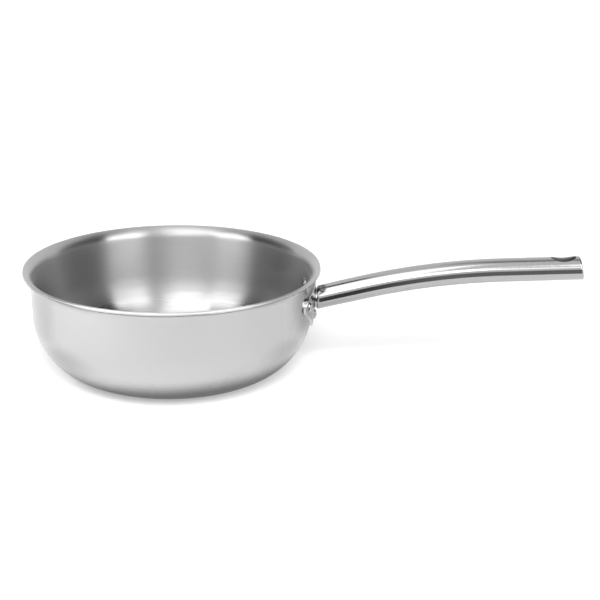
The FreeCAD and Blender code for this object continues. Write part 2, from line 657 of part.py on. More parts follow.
def slant(run, reach):
    return [(run - reach * math.tan(cut), reach), (run + reach * math.tan(cut), -reach)]


front = slant(-inset, far)
back = slant(-inset - thick, far)
pieces = [front + [(front[1][0] + far, front[1][1]), (front[0][0] + far, front[0][1])],
          back + [(back[1][0] - far, back[1][1]), (back[0][0] - far, back[0][1])]]
for number, piece in enumerate(pieces):
    faces.addGeometry([line(*(piece[i] + piece[(i + 1) % 4])) for i in range(4)], False)
    join(faces, [(4 * number + i, 2, 4 * number + (i + 1) % 4, 1) for i in range(4)])
for side in range(8):
    faces.addConstraint(Sketcher.Constraint("Block", side))
doc.recompute()
capCut = cap.newObject("PartDesign::Pocket", "cap_cut")
capCut.Profile = faces
capCut.Type = "ThroughAll"
capCut.Midplane = True
faces.Visibility = False
doc.recompute()
endPoint = handleFrame.multVec(Vector(endX, 0, endZ))
cap.Placement = Placement(endPoint, Rotation(Vector(0, 1, 0), -dim("handle_end_angle")))
nodes.append(cap)

doc.recompute()
for item in doc.Objects:
    if "Invalid" in item.State or "Error" in item.State:
        raise RuntimeError("%s: %s" % (item.Label, item.State))
os.makedirs("parts", exist_ok=True)
for node in nodes:
    shape = node.Shape
    if shape.isNull() or not shape.isValid() or len(shape.Solids) != 1:
        raise RuntimeError("bad shape: %s" % node.Label)
    shape.exportStep("parts/%s.step" % node.Label)
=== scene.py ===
import bpy
import math
import numpy as np
from mathutils import Matrix, Vector


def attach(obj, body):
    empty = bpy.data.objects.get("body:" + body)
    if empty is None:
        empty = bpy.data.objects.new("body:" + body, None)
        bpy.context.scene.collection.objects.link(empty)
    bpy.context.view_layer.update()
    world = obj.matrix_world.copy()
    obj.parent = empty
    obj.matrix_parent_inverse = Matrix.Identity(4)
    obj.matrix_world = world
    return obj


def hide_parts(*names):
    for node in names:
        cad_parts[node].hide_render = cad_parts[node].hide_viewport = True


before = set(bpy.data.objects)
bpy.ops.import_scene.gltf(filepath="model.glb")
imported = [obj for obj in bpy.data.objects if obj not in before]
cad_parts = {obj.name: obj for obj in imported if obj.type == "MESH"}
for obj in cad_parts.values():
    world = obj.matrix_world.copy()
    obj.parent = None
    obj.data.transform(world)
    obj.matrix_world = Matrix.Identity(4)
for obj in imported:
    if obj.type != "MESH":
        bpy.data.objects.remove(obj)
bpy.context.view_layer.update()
mm = 0.001  # sizes are in millimetres until they go into a mesh, unless a note says metres
fullTurn = 2 * math.pi
tiny = 1e-9  # keeps a division off zero
print("frame loaded:", len(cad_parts), "nodes")


# Surface helpers: a piece is a stack of closed rings, rings[i, j] being point j of ring i
def ringQuads(rows, columns, closed=False):
    i, j = np.meshgrid(np.arange(rows if closed else rows - 1), np.arange(columns), indexing="ij")
    low = i * columns
    high = ((i + 1) % rows) * columns
    k = (j + 1) % columns
    return np.stack([low + j, low + k, high + k, high + j], axis=-1).reshape(-1, 4)


def poleFan(pole, first, columns, last):
    j = np.arange(columns)
    k = (j + 1) % columns
    edge = (first + j, first + k) if last else (first + k, first + j)
    return np.stack([np.full(columns, pole), *edge], axis=-1)


# Rings joined by quads, and a fan of triangles to a pole at each end
def ringShell(rings, along, around, startPole, endPole):
    rows, columns = rings.shape[:2]
    points = rings.reshape(-1, 3)
    uv = np.stack(np.meshgrid(along, around, indexing="ij"), axis=-1).reshape(-1, 2)
    faces = [ringQuads(rows, columns)]
    ends = ((startPole, 0, along[0], False), (endPole, len(points) - columns, along[-1], True))
    for pole, first, run, last in ends:
        faces.append(poleFan(len(points), first, columns, last))
        points = np.vstack([points, pole])
        uv = np.vstack([uv, [run, 0.0]])
    return points, faces, uv


# Six times the signed volume, fan by fan; a shell that comes out negative is turned round
def facesOutward(points, faces):
    total = 0.0
    for part in faces:
        for s in range(1, part.shape[1] - 1):
            normal = np.cross(points[part[:, s]], points[part[:, s + 1]])
            total += np.sum(points[part[:, 0]] * normal)
    return faces if total > 0 else [part[:, ::-1] for part in faces]


# uv holds millimetres along and around; wrap is once around, where the seam closes
def addPiece(name, node, shell, wrap, material):
    points, faces, uv = shell
    faces = facesOutward(points, faces)
    mesh = bpy.data.meshes.new(name)
    mesh.from_pydata((points * mm).tolist(), [], [corner for part in faces for corner in part.tolist()])
    spread = []
    for part in faces:
        pair = uv[part]
        behind = pair[:, :, 1].max(axis=1, keepdims=True) - pair[:, :, 1] > wrap / 2
        pair[:, :, 1] += np.where(behind, wrap, 0.0)
        spread.append(pair.reshape(-1, 2))
    layer = mesh.uv_layers.new(name="surface")
    layer.data.foreach_set("uv", (np.concatenate(spread) * mm).astype(np.float32).ravel())
    mesh.polygons.foreach_set("use_smooth", np.ones(len(mesh.polygons), dtype=bool))
    mesh.materials.append(material)
    piece = bpy.data.objects.new(name, mesh)
    bpy.context.scene.collection.objects.link(piece)
    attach(piece, "root")
    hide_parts(node)
    print("piece", name, "faces", len(mesh.polygons))
    return piece


# Distance walked along a line of points, from its first one
def walked(line):
    return np.concatenate([[0.0], np.cumsum(np.linalg.norm(np.diff(line, axis=0), axis=1))])


# Angles of a quarter arc, both ends counted
def quarterArc(count):
    return np.linspace(0, math.pi / 2, count)


# Hex colour to linear by the sRGB curve: a straight foot, then a power
def linearColour(text):
    srgb = [int(text[i:i + 2], 16) / 255 for i in (1, 3, 5)]
    return tuple(c / 12.92 if c <= 0.04045 else ((c + 0.055) / 1.055) ** 2.4 for c in srgb) + (1.0,)


def addNode(tree, kind, setup=None, values=None, wires=None):
    node = tree.nodes.new(kind)
    for key, value in (setup or {}).items():
        setattr(node, key, value)
    for socket, value in (values or {}).items():
        node.inputs[socket].default_value = value
    for socket, source in (wires or {}).items():
        tree.links.new(source, node.inputs[socket])
    return node


def newMaterial(name):
    material = bpy.data.materials.new(name)
    material.use_nodes = True
    material.node_tree.nodes.clear()
    return material, material.node_tree


# Stainless sheet brushed on a turning spindle: hairlines run round the pan and soften what it mirrors
outerLook = {
    "colour": "#b6b6b6",
    "wallRoughness": 0.24,   # one belt all over
    "curveRoughness": 0.24,
    "lipRoughness": 0.24,
    "anisotropy": 0.5,
    "lineSpacing": 1.1,      # real hairlines are about 0.1 mm apart, drawn coarser so that they show
    "lineDepth": 0.001,
    "lineRoughness": 0.015,
    "smudgeSize": 45.0,      # handling smudges
    "smudgeRoughness": 0.04,
}
# The same sheet inside, satin from a coarser belt: the light gathers in upright bright and dark columns
innerLook = {
    "colour": "#b4b4b4",
    "wallRoughness": 0.5,    # coarser on the wall than in the curve, on the floor and on the lip
    "curveRoughness": 0.24,
    "lipRoughness": 0.32,
    "anisotropy": 0.98,
    "lineSpacing": 1.3,      # real satin lines are about 0.15 mm apart, drawn coarser so that they show
    "lineDepth": 0.006,
    "lineRoughness": 0.08,
    "smudgeSize": 60.0,
    "smudgeRoughness": 0.03,
}
# Heights from and to which one finish gives way to the next; the smoother one holds
finishZones = (
    (22.0, 48.0, "curveRoughness", "wallRoughness"),
    (81.0, 86.0, "wallRoughness", "lipRoughness"),
)
lineDrift = 30.0  # length over which a hairline wanders
lineDetail = 2.0
smudgeDetail = 3.0
noiseSpan = {"From Min": 0.3, "From Max": 0.7}  # nearly all of a noise lies in this span


# Lines round the axis: noise over (distance from the axis, height), which drifts slowly with the place
def spunSteel(name, look):
    material, tree = newMaterial(name)
    place = addNode(tree, "ShaderNodeTexCoord").outputs["Object"]
    split = addNode(tree, "ShaderNodeSeparateXYZ", wires={"Vector": place})
    level = addNode(tree, "ShaderNodeCombineXYZ", wires={"X": split.outputs["X"], "Y": split.outputs["Y"]})
    reach = addNode(tree, "ShaderNodeVectorMath", {"operation": "LENGTH"}, wires={0: level.outputs["Vector"]})
    ring = addNode(tree, "ShaderNodeCombineXYZ", wires={"X": reach.outputs["Value"], "Y": split.outputs["Z"]})
    fine = addNode(tree, "ShaderNodeVectorMath", {"operation": "SCALE"},
                   {"Scale": 1 / (look["lineSpacing"] * mm)}, {0: ring.outputs["Vector"]})
    drift = addNode(tree, "ShaderNodeVectorMath", {"operation": "SCALE"},
                    {"Scale": 1 / (lineDrift * mm)}, {0: place})
    mixed = addNode(tree, "ShaderNodeVectorMath", {"operation": "ADD"},
                    wires={0: fine.outputs["Vector"], 1: drift.outputs["Vector"]})
    lines = addNode(tree, "ShaderNodeTexNoise", values={"Scale": 1.0, "Detail": lineDetail},
                    wires={"Vector": mixed.outputs["Vector"]})
    smudge = addNode(tree, "ShaderNodeTexNoise",
                     values={"Scale": 1 / (look["smudgeSize"] * mm), "Detail": smudgeDetail},
                     wires={"Vector": place})
    zones = []
    for start, end, below, above in finishZones:
        zones.append(addNode(tree, "ShaderNodeMapRange",
                             values={"From Min": start * mm, "From Max": end * mm,
                                     "To Min": look[below], "To Max": look[above]},
                             wires={"Value": split.outputs["Z"]}))
    finish = addNode(tree, "ShaderNodeMath", {"operation": "MINIMUM"},
                     wires={0: zones[0].outputs["Result"], 1: zones[1].outputs["Result"]})
    wear = []
    for noise, swing in ((lines, look["lineRoughness"]), (smudge, look["smudgeRoughness"])):
        wear.append(addNode(tree, "ShaderNodeMapRange",
                            values={**noiseSpan, "To Min": -swing / 2, "To Max": swing / 2},
                            wires={"Value": noise.outputs["Fac"]}))
    worn = addNode(tree, "ShaderNodeMath", {"operation": "ADD"},
                   wires={0: wear[0].outputs["Result"], 1: wear[1].outputs["Result"]})
    rough = addNode(tree, "ShaderNodeMath", {"operation": "ADD"},
                    wires={0: finish.outputs["Value"], 1: worn.outputs["Value"]})
    bump = addNode(tree, "ShaderNodeBump", values={"Strength": 1.0, "Distance": look["lineDepth"] * mm},
                   wires={"Height": lines.outputs["Fac"]})
    upWall = addNode(tree, "ShaderNodeTangent", {"direction_type": "UV_MAP", "uv_map": "surface"})
    steel = addNode(tree, "ShaderNodeBsdfPrincipled",
                    values={"Base Color": linearColour(look["colour"]), "Metallic": 1.0,
                            "Anisotropic": look["anisotropy"]},
                    wires={"Roughness": rough.outputs["Value"], "Normal": bump.outputs["Normal"],
                           "Tangent": upWall.outputs["Tangent"]})
    addNode(tree, "ShaderNodeOutputMaterial", wires={"Surface": steel.outputs["BSDF"]})
    return material


# Stainless tube polished on a belt: near mirror, with faint lines round it that draw reflections lengthwise
gripLook = {
    "colour": "#aeaeae",
    "metallic": 1.0,
    "roughness": 0.13,
    "anisotropy": 0.6,
    "lineSpacing": 0.9,      # belt lines are finer than 0.05 mm, drawn coarser so that they show
    "lineStretch": 14.0,     # how many spacings one line runs before it fades
    "lineDepth": 0.0006,
    "lineRoughness": 0.05,
}
# Bore of the drawn tube, never polished: a dull oxide film, as on the sheared edge of the hole
boreLook = {
    "colour": "#8c8c8c",
    "metallic": 0.4,
    "roughness": 0.5,
    "anisotropy": 0.0,
    "lineSpacing": 1.2,      # draw marks run along the tube, so this is their length
    "lineStretch": 0.1,      # and they lie a tenth of it apart
    "lineDepth": 0.004,
    "lineRoughness": 0.1,
}
# Stainless casting tumbled bright: a soft mirror with a faint ripple
shieldLook = {
    "colour": "#b8b8b8",
    "metallic": 1.0,
    "roughness": 0.14,
    "anisotropy": 0.0,
    "lineSpacing": 1.4,
    "lineStretch": 1.0,
    "lineDepth": 0.002,
    "lineRoughness": 0.06,
}
# Stainless rivets headed under a die: bright domes, a little uneven
rivetLook = {
    "colour": "#b4b4b4",
    "metallic": 1.0,
    "roughness": 0.16,
    "anisotropy": 0.0,
    "lineSpacing": 1.0,
    "lineStretch": 1.0,
    "lineDepth": 0.002,
    "lineRoughness": 0.08,
}
# Aluminium core turned at the cut edge: paler and duller than the steel on both sides of it
coreLook = {
    "colour": "#d0d1d3",
    "metallic": 1.0,
    "roughness": 0.38,
    "anisotropy": 0.0,
    "lineSpacing": 0.6,
    "lineStretch": 12.0,     # turning lines run round the rim
    "lineDepth": 0.004,
    "lineRoughness": 0.1,
}


# Lines on the piece's own map: noise over (along / spacing, around / (spacing x stretch))
def polishedMetal(name, look):
    material, tree = newMaterial(name)
    place = addNode(tree, "ShaderNodeUVMap", {"uv_map": "surface"}).outputs["UV"]
    across = 1 / (look["lineSpacing"] * mm)
    scaled = addNode(tree, "ShaderNodeMapping", values={"Scale": (across, across / look["lineStretch"], 1.0)},
                     wires={"Vector": place})
    lines = addNode(tree, "ShaderNodeTexNoise", values={"Scale": 1.0, "Detail": lineDetail},
                    wires={"Vector": scaled.outputs["Vector"]})
    half = look["lineRoughness"] / 2
    rough = addNode(tree, "ShaderNodeMapRange",
                    values={**noiseSpan, "To Min": look["roughness"] - half,
                            "To Max": look["roughness"] + half},
                    wires={"Value": lines.outputs["Fac"]})
    bump = addNode(tree, "ShaderNodeBump", values={"Strength": 1.0, "Distance": look["lineDepth"] * mm},
                   wires={"Height": lines.outputs["Fac"]})
    lengthwise = addNode(tree, "ShaderNodeTangent", {"direction_type": "UV_MAP", "uv_map": "surface"})
    metal = addNode(tree, "ShaderNodeBsdfPrincipled",
                    values={"Base Color": linearColour(look["colour"]), "Metallic": look["metallic"],
                            "Anisotropic": look["anisotropy"]},
                    wires={"Roughness": rough.outputs["Result"], "Normal": bump.outputs["Normal"],
                           "Tangent": lengthwise.outputs["Tangent"]})
    addNode(tree, "ShaderNodeOutputMaterial", wires={"Surface": metal.outputs["BSDF"]})
    return material


outerSteel = spunSteel("stainless_satin_spun_outside", outerLook)
innerSteel = spunSteel("stainless_satin_spun_inside", innerLook)
gripSteel = polishedMetal("stainless_tube_belt_polished", gripLook)
boreSteel = polishedMetal("stainless_tube_drawn_bore", boreLook)
shieldSteel = polishedMetal("stainless_cast_tumbled", shieldLook)
rivetSteel = polishedMetal("stainless_rivet_headed", rivetLook)
coreAluminium = polishedMetal("aluminium_core_turned_edge", coreLook)
print("materials made")

# Pan body: three plies of one spun sheet
pan = {
    "rimRadius": 125.0,
    "height": 92.0,
    "cornerRadius": 55.0,
    "wallTaper": 2.5,        # degrees off upright
    "flareRadius": 7.5,
    "flareAngle": 76.0,
    "outerPly": 0.5,
    "corePly": 1.6,
    "innerPly": 0.5,
    "edgeRound": 0.2,        # polished corners of the cut edge
    "coreSetBack": 0.06,     # soft aluminium is worn back a little
    "columns": 288,
    "floorPoints": 24,       # points of the profile on each stretch
    "cornerPoints": 48,
    "wallPoints": 14,
    "flarePoints": 26,
    "roundPoints": 6,
}
taper = math.radians(pan["wallTaper"])
turned = taper + math.radians(pan["flareAngle"])
wallThick = pan["outerPly"] + pan["corePly"] + pan["innerPly"]
flareX = pan["rimRadius"] + pan["flareRadius"] * math.cos(turned)
flareZ = pan["height"] - (pan["flareRadius"] + wallThick) * math.sin(turned)
leanRun = (pan["cornerRadius"] - flareZ) * math.sin(taper)
baseRadius = flareX + (leanRun - pan["cornerRadius"] - pan["flareRadius"]) / math.cos(taper)


# From the axis to the lip at one depth in the sheet, in (r, z): level floor, corner arc, leaning wall,
# flare arc to the angle stop
def skinLine(depth, stop):
    corner = pan["cornerRadius"] - depth
    flare = pan["flareRadius"] + depth
    low = np.linspace(-math.pi / 2, -taper, pan["cornerPoints"])
    high = np.linspace(taper, stop, pan["flarePoints"])
    reach = np.linspace(0, baseRadius, pan["floorPoints"], endpoint=False)
    floor = np.stack([reach, np.full_like(reach, depth)], axis=-1)
    bend = np.stack([baseRadius + corner * np.cos(low), pan["cornerRadius"] + corner * np.sin(low)], axis=-1)
    lip = np.stack([flareX - flare * np.cos(high), flareZ + flare * np.sin(high)], axis=-1)
    wall = bend[-1] + np.linspace(0, 1, pan["wallPoints"])[1:-1, None] * (lip[0] - bend[-1])
    return np.vstack([floor, bend, wall, lip])


# Quarter arc that rounds one corner of the cut edge; side is 1 under the lip and -1 on top of it
def lipCorner(depth, radius, side):
    out = np.array([math.sin(turned), math.cos(turned)])
    up = np.array([-math.cos(turned), math.sin(turned)])
    centre = np.array([flareX, flareZ]) + (pan["flareRadius"] + depth + side * radius) * up - radius * out
    sweep = quarterArc(pan["roundPoints"])[1:, None]
    arc = centre - side * radius * np.cos(sweep) * up + radius * np.sin(sweep) * out
    return arc if side > 0 else arc[::-1]


# One ply in (r, z): out along its underside, round the cut edge, and back along its top to the axis
def plyProfile(near, far, nearRound, farRound, setBack):
    under = skinLine(near, turned - (nearRound + setBack) / (pan["flareRadius"] + near))
    top = skinLine(far, turned - (farRound + setBack) / (pan["flareRadius"] + far))
    edge = []
    if nearRound:
        edge.append(lipCorner(near, nearRound, 1))
    if farRound:
        edge.append(lipCorner(far, farRound, -1))
    return np.vstack([under, *edge, top[::-1]])


# Turned solid: point(i, j) = (r cos a, r sin a, z), with the seam opposite the handle and a pole at each end
def spunPiece(name, node, profile, material):
    angle = math.pi + fullTurn * np.arange(pan["columns"]) / pan["columns"]
    inner = profile[1:-1]
    rings = np.stack([inner[:, :1] * np.cos(angle), inner[:, :1] * np.sin(angle),
                      np.repeat(inner[:, 1:], len(angle), axis=1)], axis=-1)
    along = walked(profile)[1:-1]
    poles = [np.array([0.0, 0.0, end[1]]) for end in (profile[0], profile[-1])]
    shell = ringShell(rings, along, (angle - math.pi) * pan["rimRadius"], *poles)
    addPiece(name, node, shell, fullTurn * pan["rimRadius"], material)


coreNear = pan["outerPly"]
coreFar = pan["outerPly"] + pan["corePly"]
outerProfile = plyProfile(0.0, coreNear, pan["edgeRound"], 0, 0)
coreProfile = plyProfile(coreNear, coreFar, 0, 0, pan["coreSetBack"])
innerProfile = plyProfile(coreFar, wallThick, 0, pan["edgeRound"], 0)
spunPiece("outer_skin", "outer_ply", outerProfile, outerSteel)
spunPiece("core_sheet", "core_ply", coreProfile, coreAluminium)
spunPiece("inner_skin", "inner_ply", innerProfile, innerSteel)


# Radius of the outside wall moved out by a distance, at a height: leaning wall above the tangent, arc below
def wallReach(height, out):
    corner = pan["cornerRadius"] + out
    tangent = pan["cornerRadius"] - corner * math.sin(taper)
    leaning = baseRadius + corner * math.cos(taper) + (height - tangent) * math.tan(taper)
    drop = np.maximum(corner ** 2 - (pan["cornerRadius"] - height) ** 2, 0.0)
    return np.where(height >= tangent, leaning, baseRadius + np.sqrt(drop))


# The wall's point at a y and a height, on the handle's side: x = root of (radius squared less y squared)
def onWall(y, z, out):
    return np.stack([np.sqrt(wallReach(z, out) ** 2 - y ** 2), y, z], axis=-1)


slideSteps = 14  # more than enough for the steps below to settle


# Newton steps along one direction until the points' radius is the wall's radius at their height
def slideToWall(points, direction, out):
    pace = math.hypot(direction[0], direction[1])
    for _ in range(slideSteps):
        miss = np.hypot(points[..., 0], points[..., 1]) - wallReach(points[..., 2], out)
        points = points - (miss / pace)[..., None] * direction
    return points


# Tube handle: straight rise, one long arc, nearly level end
grip = {
    "upperRivetDrop": 25.0,  # rim to upper rivets
    "drop": 1.1,             # upper rivets to the tube's axis
    "standOff": 9.0,
    "riseAngle": 13.6,
    "endAngle": 2.1,
    "bendRadius": 607.0,
    "lowerRun": 33.0,
    "upperRun": 64.8,
    "radius": 10.0,
    "wall": 1.5,
    "neckRadius": 9.85,
    "coping": 5.4,           # the root is cut upright, this far behind the start of the axis
    "neckStraight": 10.0,
    "neckTaper": 12.0,
    "neckRound": 1.4,
    "endCut": 8.5,           # degrees, top shorter than the underside
    "endRound": 1.2,
    "holeLength": 21.5,
    "holeWidth": 13.0,
    "holeMargin": 3.2,
    "holeRound": 0.2,
    "holeBand": 0.25,        # narrow ring of the outside next to the rounded edge
    "polishedStrips": 2,     # strips of the hole's lip that the belt reaches
    "columns": 80,
    "patchCells": 14,        # half width of the grid patch round the hole
    "holeCells": 10,         # half width of what is left out of it
    "bodyRows": 96,          # rows of points on each stretch
    "boreRows": 60,
    "endRows": 5,
    "endFaceRows": 4,
    "roundRows": 6,
}
rise = math.radians(grip["riseAngle"])
bendAngle = rise - math.radians(grip["endAngle"])
upperZ = pan["height"] - grip["upperRivetDrop"]
axisZ = upperZ - grip["drop"]
axisX = float(wallReach(np.array(axisZ), 0.0)) + grip["standOff"]
arcRun = grip["bendRadius"] * bendAngle
gripRun = grip["lowerRun"] + arcRun + grip["upperRun"]
cut = math.radians(grip["endCut"])


# Axis of the tube at a run from its root: the heading falls steadily along the arc
def gripAxis(run):
    heading = rise - np.clip((run - grip["lowerRun"]) / grip["bendRadius"], 0, bendAngle)
    first = np.minimum(run, grip["lowerRun"])
    last = np.maximum(run - grip["lowerRun"] - arcRun, 0)
    x = axisX + first * math.cos(rise) + last * np.cos(heading)
    z = axisZ + first * math.sin(rise) + last * np.sin(heading)
    x = x + grip["bendRadius"] * (math.sin(rise) - np.sin(heading))
    z = z + grip["bendRadius"] * (np.cos(heading) - math.cos(rise))
    return x, z, heading


# A point off the axis by a lift upwards and a shift sideways, square to the heading
def offGrip(run, lift, side):
    x, z, heading = gripAxis(run)
    return np.stack([x - lift * np.sin(heading), side + 0 * x, z + lift * np.cos(heading)], axis=-1)


# Outside radius at a run: the neck's, then a smooth step t t (3 - 2 t) up to the full one
def neckSwell(run):
    t = np.clip((run - grip["neckStraight"]) / grip["neckTaper"], 0, 1)
    return grip["neckRadius"] + (grip["radius"] - grip["neckRadius"]) * t * t * (3 - 2 * t)


# Point of the oval, grown by a margin, for (a, b) of the square patch: each side of the square becomes a
# quarter of the oval, at an angle of 45 degrees x b / a
def ovalPoint(a, b, grow):
    wide = np.abs(a) >= np.abs(b)
    swing = math.pi / 4 * np.where(wide, b / np.maximum(np.abs(a), tiny), a / np.maximum(np.abs(b), tiny))
    run = np.where(wide, np.sign(a) * np.cos(swing), np.sin(swing)) * (grip["holeLength"] / 2 + grow)
    side = np.where(wide, np.sin(swing), np.sign(b) * np.cos(swing)) * (grip["holeWidth"] / 2 + grow)
    return run, side


# Tube: point(run, turn) = axis at run + radius (cos turn upwards, sin turn sideways). Its rows go along the
# outside, round the end and back through the bore to the root, where the last row meets the first
def tubeShell():
    columns = grip["columns"]
    cells = grip["patchCells"]
    theta = fullTurn * np.arange(columns) / columns
    holeRun = gripRun - grip["radius"] * math.tan(cut) - grip["holeMargin"] - grip["holeLength"] / 2
    patchHalf = grip["holeLength"] / 2 + grip["holeMargin"] / 2
    patchStart = holeRun - patchHalf
    patchEnd = holeRun + patchHalf
    steps = np.linspace(-1, 1, 2 * cells + 1)
    quarter = quarterArc(grip["roundRows"])
    bore = grip["radius"] - grip["wall"]
    runs, radii = [], []

    def addRows(run, radius):
        runs.append(np.broadcast_to(run, (len(run), columns)).copy())
        radii.append(np.broadcast_to(radius, runs[-1].shape).copy())

    def endRun(radius):
        return gripRun - math.tan(cut) * radius * np.cos(theta)

    def rootRun(radius):
        return math.tan(rise) * radius * np.cos(theta) - grip["coping"] / math.cos(rise)

    # Rounded root, outside, slanted end
    soft = grip["neckRound"]
    swell = (grip["neckRadius"] - soft * (1 - np.sin(quarter)))[:, None]
    addRows(rootRun(swell) + soft * (1 - np.cos(quarter))[:, None], swell)
    start = rootRun(grip["neckRadius"]) + soft
    body = start + np.linspace(0, 1, grip["bodyRows"])[1:-1, None] * (patchStart - start)
    addRows(body, neckSwell(body))
    outerPatch = sum(len(r) for r in runs)
    addRows(holeRun + patchHalf * steps[:, None], grip["radius"])
    soft = grip["endRound"]
    fade = np.linspace(0, 1, grip["endRows"])[1:-1, None]
    addRows(patchEnd + fade * (endRun(grip["radius"]) - soft - patchEnd), grip["radius"])
    shrink = (grip["radius"] - soft * (1 - np.cos(quarter)))[:, None]
    addRows(endRun(shrink) - soft * (1 - np.sin(quarter))[:, None], shrink)
    ring = np.linspace(grip["radius"] - soft, bore, grip["endFaceRows"])[1:, None]
    addRows(endRun(ring), ring)

    # Back through the bore
    boreRow = sum(len(r) for r in runs)
    addRows(patchEnd + fade[::-1] * (endRun(bore) - patchEnd), bore)
    innerPatch = sum(len(r) for r in runs)
    addRows(holeRun - patchHalf * steps[:, None], bore)
    rootWay = rootRun(grip["neckRadius"] - grip["wall"]) - patchStart
    body = patchStart + np.linspace(0, 1, grip["boreRows"])[1:, None] * rootWay
    addRows(body, neckSwell(body) - grip["wall"])
    run = np.vstack(runs)
    radius = np.vstack(radii)
    turn = np.broadcast_to(theta, run.shape).copy()
    rows = len(run)

    # Both patches are bent onto the oval: a blend from the oval at the hole to the plain grid at the rim
    kept = np.ones((rows, columns), dtype=bool)
    side = np.arange(-cells, cells + 1)
    reach = grip["holeCells"] / cells
    a, b = np.meshgrid(steps, side / cells, indexing="ij")
    square = np.maximum(np.abs(a), np.abs(b))
    blend = np.clip((square - reach) / (1 - reach), 0, 1)
    scale = np.maximum(square, tiny)
    rimTurn = side[-1] * fullTurn / columns
    holeHalf = grip["holeCells"]
    walk = np.arange(-holeHalf, holeHalf)
    edge = np.full(2 * holeHalf, holeHalf)
    rim = np.concatenate([np.stack([-edge, walk], -1), np.stack([walk, edge], -1),
                          np.stack([edge, -walk], -1), np.stack([-walk, -edge], -1)])
    pick = side % columns
    inside = np.arange(cells - holeHalf, cells + holeHalf)
    ends = []
    for first, flip, reachOut, grow in ((outerPatch, 1, grip["radius"], grip["holeRound"] + grip["holeBand"]),
                                        (innerPatch, -1, bore, 0.0)):
        block = np.ix_(first + np.arange(2 * cells + 1), pick)
        ovalRun, ovalSide = ovalPoint(flip * a, b, grow)
        ovalTurn = np.arcsin(ovalSide / reachOut)
        run[block] = holeRun + (1 - blend) * ovalRun + blend * patchHalf * flip * a / scale
        turn[block] = (1 - blend) * ovalTurn + blend * rimTurn * b / scale
        kept[np.ix_(first + inside, pick[inside])] = False
        ends.append((first + cells + flip * rim[:, 0]) * columns + rim[:, 1] % columns)
    points = offGrip(run, radius * np.cos(turn), radius * np.sin(turn)).reshape(-1, 3)
    uv = np.stack([run, (turn % fullTurn) * grip["radius"]], axis=-1).reshape(-1, 2)
    faces = [ringQuads(rows, columns, True)[kept.ravel()]]

    # Lip of the hole: a rounded edge, then straight down to the bore
    a, b = rim[:, 0] / cells, rim[:, 1] / cells
    lip = [ends[0]]
    for sweep in quarter:
        holeX, holeY = ovalPoint(a, b, grip["holeRound"] * (1 - math.sin(sweep)))
        high = np.sqrt(grip["radius"] ** 2 - holeY ** 2) - grip["holeRound"] * (1 - math.cos(sweep))
        lip.append(len(points) + np.arange(len(rim)))
        points = np.vstack([points, offGrip(holeRun + holeX, high, holeY)])
        around = np.arcsin(holeY / grip["radius"]) % fullTurn
        uv = np.vstack([uv, np.stack([holeRun + holeX, around * grip["radius"]], axis=-1)])
    lip.append(ends[1])
    for near, far in zip(lip[:-1], lip[1:]):
        faces.append(np.stack([near, np.roll(near, -1), np.roll(far, -1), far], axis=-1))
    row = np.repeat(np.arange(rows), columns)[kept.ravel()]
    strip = np.repeat(np.arange(len(lip) - 1), len(rim))
    inBore = np.concatenate([row >= boreRow, strip >= grip["polishedStrips"]])
    return (points, faces, uv), inBore


gripShell, gripBore = tubeShell()
gripWrap = fullTurn * grip["radius"]
gripPiece = addPiece("grip_tube", "handle_tube", gripShell, gripWrap, gripSteel)
gripPiece.data.materials.append(boreSteel)
gripPiece.data.polygons.foreach_set("material_index", gripBore.astype(np.int32))

# Closing disc, parallel to the slanted end
cap = {
    "thickness": 2.0,
    "inset": 0.4,
    "clearance": 0.05,
    "edgeRound": 0.25,
    "columns": 80,
    "faceRings": (0.1, 0.9, 9),  # first and last share of the radius, and how many
    "roundRings": 5,
}
capRadius = grip["radius"] - grip["wall"] - cap["clearance"]


# point(rho, a) = end of the axis + rho across the disc, slid along the axis by the slant and the depth
def capShell():
    angle = fullTurn * np.arange(cap["columns"]) / cap["columns"]
    soft = cap["edgeRound"]
    back = cap["inset"] + cap["thickness"]
    quarter = quarterArc(cap["roundRings"])
    flat = capRadius * np.linspace(*cap["faceRings"])
    reach = np.concatenate([flat, capRadius - soft * (1 - np.sin(quarter)),
                            capRadius - soft * (1 - np.cos(quarter)), flat[::-1]])
    depth = np.concatenate([np.full_like(flat, cap["inset"]), cap["inset"] + soft * (1 - np.cos(quarter)),
                            back - soft * (1 - np.sin(quarter)), np.full_like(flat, back)])
    slant = math.tan(cut) * reach[:, None] * np.cos(angle)
    run = gripRun - depth[:, None] / math.cos(cut) - slant
    rings = offGrip(run, reach[:, None] * np.cos(angle), reach[:, None] * np.sin(angle))
    poles = [offGrip(np.array(gripRun - d / math.cos(cut)), 0.0, 0.0) for d in (cap["inset"], back)]
    return ringShell(rings, walked(np.stack([reach, depth], axis=-1)), angle * capRadius, *poles)


addPiece("cap_disc", "end_cap", capShell(), fullTurn * capRadius, gripSteel)

